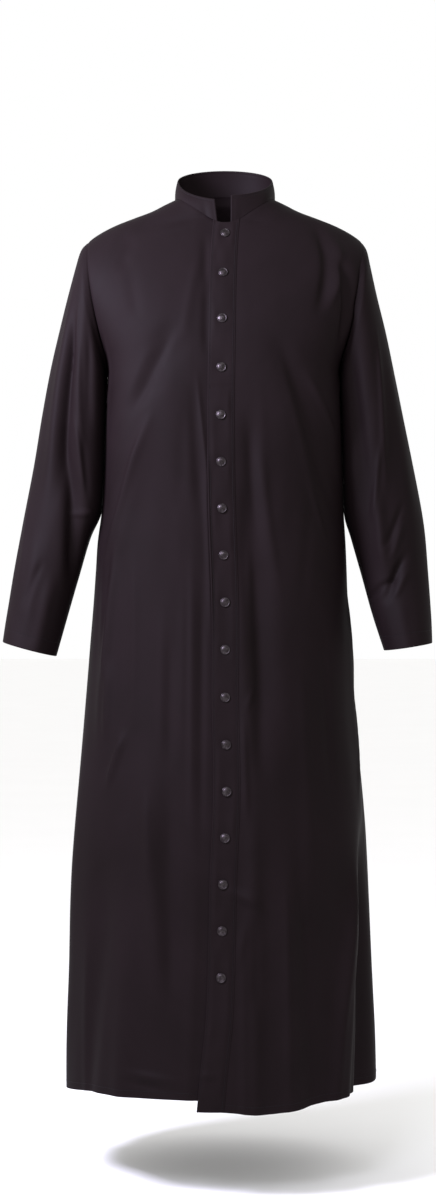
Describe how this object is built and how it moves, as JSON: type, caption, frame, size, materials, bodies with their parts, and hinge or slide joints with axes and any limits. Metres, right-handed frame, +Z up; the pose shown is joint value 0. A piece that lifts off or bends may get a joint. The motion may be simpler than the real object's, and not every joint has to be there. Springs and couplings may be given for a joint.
{
  "type": "cassock",
  "caption": "Long black cassock in its worn, hollow form, with a standing collar, set-in sleeves and a buttoned placket down the front to a full hem.",
  "frame": {"origin": "middle of the neck base, level with the points where the shoulder seams meet the collar, where the wearer's neck and shoulders hold the garment", "axes": "+Z up, -Y the front, +X the wearer's left"},
  "size_m": [0.6766, 0.4289, 1.472],
  "materials": {
    "twill": "black worsted-look twill with a soft sheen",
    "collar_twill": "the same black twill, interfaced and pressed smooth",
    "snap_metal": "dark gunmetal plate, domed, with a worn rim"
  },
  "bodies": {
    "root": {"back": "twill", "front_left": "twill", "front_right": "twill", "placket": "twill", "sleeve_left": "twill", "sleeve_right": "twill", "collar": "collar_twill", "button_01": "snap_metal", "button_02": "snap_metal", "button_03": "snap_metal", "button_04": "snap_metal", "button_05": "snap_metal", "button_06": "snap_metal", "button_07": "snap_metal", "button_08": "snap_metal", "button_09": "snap_metal", "button_10": "snap_metal", "button_11": "snap_metal", "button_12": "snap_metal", "button_13": "snap_metal", "button_14": "snap_metal", "button_15": "snap_metal", "button_16": "snap_metal", "button_17": "snap_metal"}
  },
  "joints": []
}
